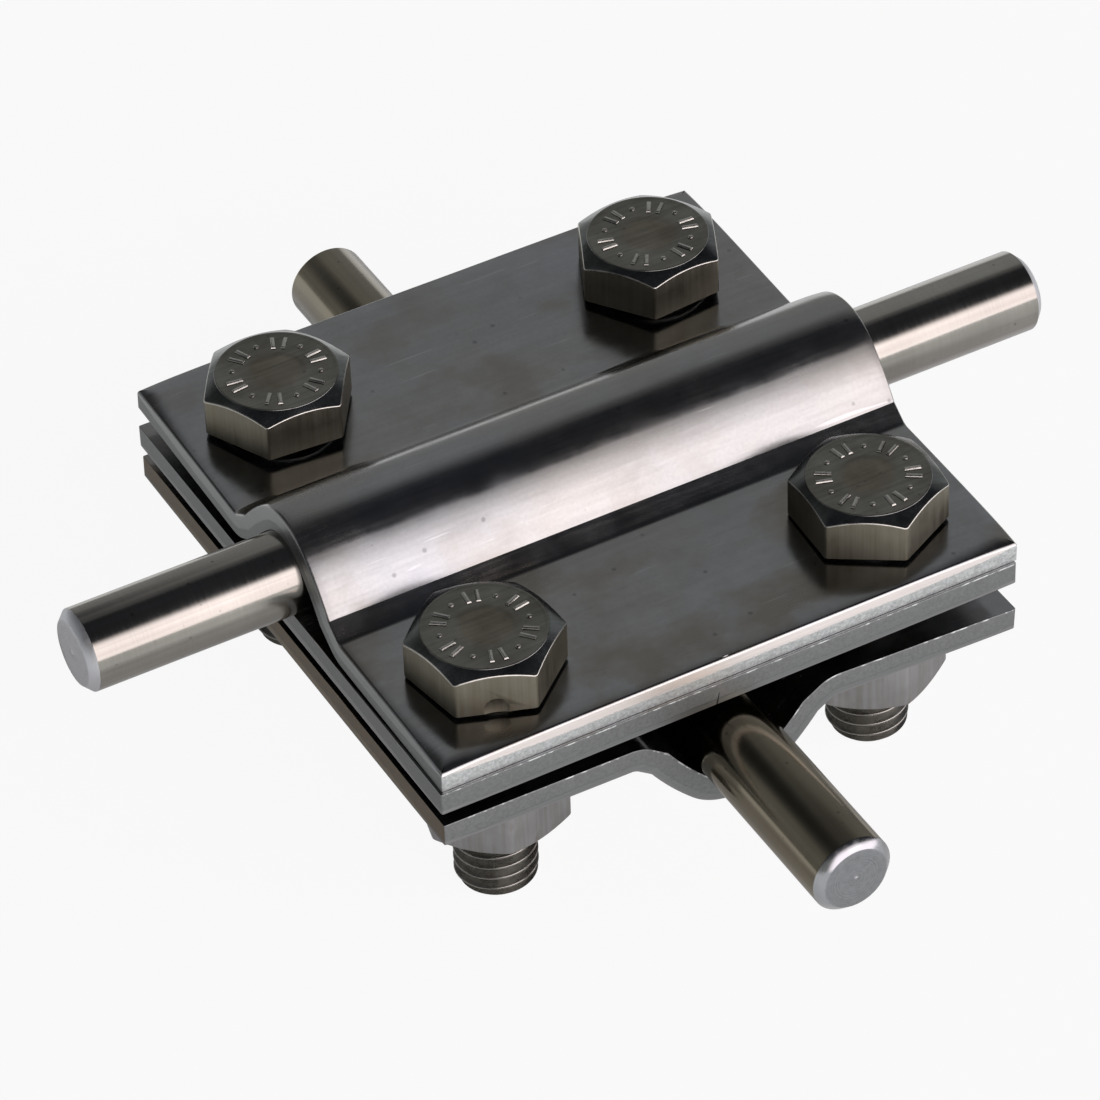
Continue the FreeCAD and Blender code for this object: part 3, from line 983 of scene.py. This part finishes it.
def bolt_mesh(station, top):
    """A bolt on Z with its end at Z = 0 and the top of its head at the given height."""
    sizes = bpy.context.scene.fastener_sizes
    turn, washer_height = sizes.head_turns[station], sizes.washer_face_height
    seat = top - (sizes.head_height + washer_height)
    face = sizes.face_diameter / 2
    rim = [(face - inwards * MM, top - fall * MM) for inwards, fall in HEAD_RIM]
    dish = [(radius * MM, top - fall * MM) for radius, fall in HEAD_DISH]
    foot = rim[0][1] - (CROWN_REACH - face) * CHAMFER_SLOPE
    crown = [(0, seat - MM), (CROWN_REACH, seat - MM), (CROWN_REACH, foot)] + rim + dish
    body = hexagon_body(crown, seat + washer_height, sizes.head_height, turn)
    if station == STATIONS.index("front"):
        angle = turn - radians(150)
        reach = sizes.hex_width / 2 + DIMPLE_OUT
        centre = at(reach * cos(angle), reach * sin(angle), seat + washer_height + DIMPLE_UP)
        dimple = bmesh.new()
        bmesh.ops.create_icosphere(dimple, subdivisions=5, radius=DIMPLE_RADIUS, matrix=centre)
        body = combined(body, dimple, "DIFFERENCE")
    shank = screw_thread(sizes.thread_radius, sizes.thread_depth, sizes.pitch, 0.0, seat + 0.2 * MM)
    end, chamfer = sizes.thread_radius - 0.9 * MM, 1.4 * MM
    envelope = lathe([
        (0, 0.18 * MM), (1.1 * MM, 0.14 * MM), (2.5 * MM, 0.0), (end, 0.0), (end + chamfer, chamfer),
        (end + chamfer, seat + MM), (0, seat + MM),
    ], 64)
    shank = combined(shank, envelope, "INTERSECT")
    washer, edge, over = sizes.washer_face_diameter / 2, 0.08 * MM, seat + washer_height + 0.2 * MM
    washer_face = lathe([(0, seat), (washer - edge, seat), (washer, seat + edge), (washer, over), (0, over)])
    body = combined(body, washer_face, "UNION")
    body = combined(body, head_marks(top - 0.05 * MM, station), "UNION")
    return combined(body, shank, "UNION")


def nut_mesh(station, low, high):
    """A nut on Z between the two heights, its thread in step with its bolt's."""
    sizes = bpy.context.scene.fastener_sizes
    turn, play = sizes.nut_turns[station], sizes.thread_play
    face = sizes.face_diameter / 2
    fall = (CROWN_REACH - face) * CHAMFER_SLOPE
    soft = 0.04 * MM
    body = hexagon_body([
        (0, low), (face - 2 * soft, low), (face + 0.05 * MM, low + soft), (CROWN_REACH, low + fall),
        (CROWN_REACH, high - fall), (face + 0.05 * MM, high - soft), (face - 2 * soft, high), (0, high),
    ], low, high - low, turn)
    tap = screw_thread(sizes.thread_radius + play, sizes.thread_depth, sizes.pitch, low - MM, high + MM)
    body = combined(body, tap, "DIFFERENCE")
    mouth, deep = sizes.thread_radius + 0.5 * MM, 0.95 * MM
    for outline in (
        [(0, low - MM), (mouth + MM, low - MM), (mouth - deep, low + deep), (0, low + deep)],
        [(0, high - deep), (mouth - deep, high - deep), (mouth + MM, high + MM), (0, high + MM)],
    ):
        body = combined(body, lathe(outline, 64), "DIFFERENCE")
    return body


def dressed_fastener(node, axis, bm, steels, smooth_angle, steel_at):
    """The fastener on its axis, standing for its node, each face of the steel that is picked for it."""
    moved(bm, at(axis.x, axis.y, 0))
    piece = finished(bm, node + "_dressed", steels, smooth_angle)
    mark_radius(piece.data, axis.to_3d())
    for face in piece.data.polygons:
        face.material_index = steels.index(steel_at(face, (face.center.xy - axis).length))
    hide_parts(node)
    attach(piece, node)


class CLAMPBLOCK_OT_bolts(bpy.types.Operator):
    """Make the four hexagon bolts with their threads"""

    bl_idname = "clampblock.bolts"
    bl_label = "Bolts"

    def execute(self, context):
        sizes, colour = context.scene.fastener_sizes, tuple(context.scene.clamp_colours.fastener)
        forged = forged_steel("bolt, cold headed", colour)
        thread = thread_steel("bolt, rolled thread", scaled(colour, 1.3))
        flats = hexagon_steel("bolt, drawn flats", tinted(colour, (0.78, 0.76, 0.68)))
        # A lighter copy of the thread's steel: painted glints on the arcs and the raised marks
        painted_glints = thread_steel("bolt, rubbed marks", scaled(colour, 2.2))
        for index, station in enumerate(STATIONS):
            node = station + "_bolt"
            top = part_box(node)[1].z
            seat = top - sizes.head_height - sizes.washer_face_height

            def steel_at(face, reach):
                lean, height = abs(face.normal.z), face.center.z
                if height < seat and reach < THREAD_WITHIN:
                    return thread
                # Painted glints on the arcs where the chamfer cuts the flats, and on the raised marks above
                # the top
                if 0.1 < lean < 0.82 and height > seat + 2.5 * MM and reach > ARCS_BEYOND:
                    return painted_glints
                if lean < 0.3 and reach > FLATS_BEYOND:
                    return flats
                return painted_glints if height > top + 0.01 * MM else forged

            steels = [forged, thread, flats, painted_glints]
            dressed_fastener(node, bolt_axes()[station], bolt_mesh(index, top), steels, 15, steel_at)
        return {"FINISHED"}


class CLAMPBLOCK_OT_nuts(bpy.types.Operator):
    """Make the four hexagon nuts"""

    bl_idname = "clampblock.nuts"
    bl_label = "Nuts"

    def execute(self, context):
        colours = context.scene.clamp_colours
        formed = forged_steel("nut, cold formed", tuple(colours.fastener))
        flats = hexagon_steel("nut, drawn flats", scaled(colours.turned, 1.25))

        def steel_at(face, reach):
            return flats if abs(face.normal.z) < 0.3 and reach > FLATS_BEYOND else formed

        for index, station in enumerate(STATIONS):
            node = station + "_nut"
            low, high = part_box(node)
            bm = nut_mesh(index, low.z, high.z)
            dressed_fastener(node, bolt_axes()[station], bm, [formed, flats], 21, steel_at)
        return {"FINISHED"}


# Stage


def floor_material(colour):
    """Pale floor that shows white to the camera and in the steel, less so in a painted shadow round the
    object.
    """
    material = bpy.data.materials.new("studio floor")
    material.use_nodes = True
    tree = material.node_tree
    tree.nodes.clear()
    s = Nodes(tree)
    matte = s.add("BsdfDiffuse", {"Color": (*colour, 1)})
    glow = s.add("Emission", {"Color": (1, 1, 1, 1), "Strength": 1.0})
    ray = tree.nodes.new("ShaderNodeLightPath").outputs
    place = s.add("TexCoord", {}, "Object")
    distance = s.add("VectorMath", {0: place}, "Value", operation="LENGTH")
    depth = s.add("SeparateXYZ", {0: place}, "Y")
    # Painted shadow round the object in the steel's view of the floor: clear of it from 130 mm out on, or 72
    # mm in front
    clear = s.math(
        "MAXIMUM", s.grey(distance, 0.26, 0.90, 45 * MM, 130 * MM, "SMOOTHSTEP"),
        s.grey(depth, 0.26, 0.90, -27 * MM, -72 * MM, "SMOOTHSTEP"),
    )
    seen = s.math("MAXIMUM", ray["Is Camera Ray"], ray["Is Glossy Ray"])
    seen = s.math("MAXIMUM", seen, ray["Is Transmission Ray"])
    share = s.math("MAXIMUM", s.times(seen, clear), s.times(ray["Is Camera Ray"], 0.92))
    surface = s.add("MixShader", {0: share, 1: matte, 2: glow})
    tree.links.new(surface, tree.nodes.new("ShaderNodeOutputMaterial").inputs["Surface"])
    return material


def studio_world():
    """A room with a grey wall behind, shaded in part, a dark ceiling and a soft box in front on the right."""
    world = bpy.data.worlds.new("studio")
    world.use_nodes = True
    s = Nodes(world.node_tree)
    view = s.add("TexCoord", {}, "Generated")

    def near(direction, start, end, most=1.0):
        """Rises to its most as the view turns towards the direction."""
        inputs = {0: view, 1: Vector(direction).normalized()}
        nearness = s.add("VectorMath", inputs, "Value", operation="DOT_PRODUCT")
        return s.grey(nearness, 0.0, most, start, end, "SMOOTHSTEP")

    ahead = s.times(s.add("SeparateXYZ", {0: view}, "Y"), -1.0)
    angle = s.math("ARCTAN2", s.add("SeparateXYZ", {0: view}, "Z"), ahead)
    # From the horizon in front, at 0, over the top to the horizon behind, at 1
    dark = (0.033, 0.035, 0.041)
    wall = s.ramp(s.math("DIVIDE", angle, pi), [
        (0.0, (0.36, 0.355, 0.34)), (0.18, (0.28, 0.28, 0.27)), (0.31, (0.045, 0.048, 0.055)), (0.36, dark),
        (0.565, dark), (0.625, (0.15, 0.15, 0.155)), (0.69, (0.34, 0.345, 0.35)), (0.76, (0.365, 0.37, 0.38)),
        (1.0, (0.34, 0.34, 0.34)),
    ], "EASE")
    unshaded = s.math("SUBTRACT", 1.0, near((-0.30, 0.67, 0.68), 0.86, 0.97, 0.85))
    wall = s.add("VectorMath", {0: wall, "Scale": unshaded}, operation="SCALE")
    upper_end = s.grey(s.times(angle, -1.0), 0.0, 1.0, radians(-52), radians(-35), "SMOOTHSTEP")
    glow = s.times(s.times(upper_end, near((0.45, -0.9, 0.0), 0.38, 0.62)), 2.6)
    box = s.add("VectorMath", {0: (1.0, 0.90, 0.925), "Scale": glow}, operation="SCALE")
    room = s.add("VectorMath", {0: wall, 1: box}, operation="ADD")
    s.links.new(room, s.nodes["Background"].inputs["Color"])
    return world


class CLAMPBLOCK_OT_stage(bpy.types.Operator):
    """Make the floor, the world, the lamp and the camera"""

    bl_idname = "clampblock.stage"
    bl_label = "Stage"

    def execute(self, context):
        scene = context.scene
        bm = bmesh.new()
        bmesh.ops.create_grid(bm, x_segments=1, y_segments=1, size=2.5)
        bmesh.ops.translate(bm, verts=bm.verts, vec=(0, 0, -0.2 * MM))
        mesh = mesh_of(bm, "floor")
        mesh.materials.append(floor_material(tuple(scene.clamp_colours.floor)))
        floor = linked("floor", mesh)

        scene.world = studio_world()
        lamp = bpy.data.lights.new("front box", "AREA")
        lamp.shape = "RECTANGLE"
        lamp.size, lamp.size_y = 0.6, 0.4
        lamp.energy = 0.45
        lamp.color = (1.0, 0.975, 0.955)
        away = Vector((0.361, -0.73, 0.575)).normalized()
        holder = linked("front box", lamp)
        holder.location = Vector((0, 0, 20 * MM)) + away * 1.1
        holder.rotation_euler = away.to_track_quat("Z", "Y").to_euler()

        # The lens and the place that lay the plates' corners where the photo has them
        camera = bpy.data.cameras.new("camera")
        camera.sensor_width = 36.0
        camera.lens = 188.32
        camera.shift_x = -0.0189
        camera.shift_y = -0.0329
        camera.clip_start = 0.05
        camera.clip_end = 20
        right = Vector((0.8695, -0.4932, -0.0280))
        up = Vector((0.3373, 0.5513, 0.7631))
        back = Vector((-0.3609, -0.6729, 0.6457))
        middle = middle_of("middle_plate")
        under = Vector((middle.x, middle.y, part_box("middle_plate")[0].z))
        eye = under + Vector((-193.90, -361.58, 346.94)) * MM
        view = linked("camera", camera)
        view.matrix_world = at(*eye) @ Matrix((right, up, back)).transposed().to_4x4()
        scene.camera = view
        scene.view_settings.view_transform = "Standard"
        return {"FINISHED"}


class CLAMPBLOCK_PT_panel(bpy.types.Panel):
    """Sizes, colours and steps of the clamp block"""

    bl_idname = "CLAMPBLOCK_PT_panel"
    bl_label = "Cross clamp block"
    bl_space_type = "VIEW_3D"
    bl_region_type = "UI"
    bl_category = "Clamp block"

    def draw(self, context):
        layout = self.layout
        for group in GROUPS:
            values = getattr(context.scene, group)
            box = layout.box()
            for name in values.bl_rna.properties.keys():
                if name not in {"rna_type", "name"}:
                    box.prop(values, name)
        for step in STEPS:
            layout.operator(step.bl_idname)


GROUPS = {"clamp_sizes": ClampSizes, "fastener_sizes": FastenerSizes, "clamp_colours": ClampColours}
STEPS = (
    CLAMPBLOCK_OT_stage,
    CLAMPBLOCK_OT_clamp_plates,
    CLAMPBLOCK_OT_middle_plate,
    CLAMPBLOCK_OT_conductors,
    CLAMPBLOCK_OT_bolts,
    CLAMPBLOCK_OT_nuts,
)


def register():
    for cls in (*GROUPS.values(), *STEPS, CLAMPBLOCK_PT_panel):
        bpy.utils.register_class(cls)
    for name, cls in GROUPS.items():
        setattr(bpy.types.Scene, name, bpy.props.PointerProperty(type=cls))


def unregister():
    for name in GROUPS:
        delattr(bpy.types.Scene, name)
    for cls in (CLAMPBLOCK_PT_panel, *STEPS[::-1], *list(GROUPS.values())[::-1]):
        bpy.utils.unregister_class(cls)


def main():
    register()
    bpy.ops.clampblock.stage()
    bpy.ops.clampblock.clamp_plates()
    bpy.ops.clampblock.middle_plate()
    bpy.ops.clampblock.conductors()
    bpy.ops.clampblock.bolts()
    bpy.ops.clampblock.nuts()


if __name__ == "__main__":
    main()
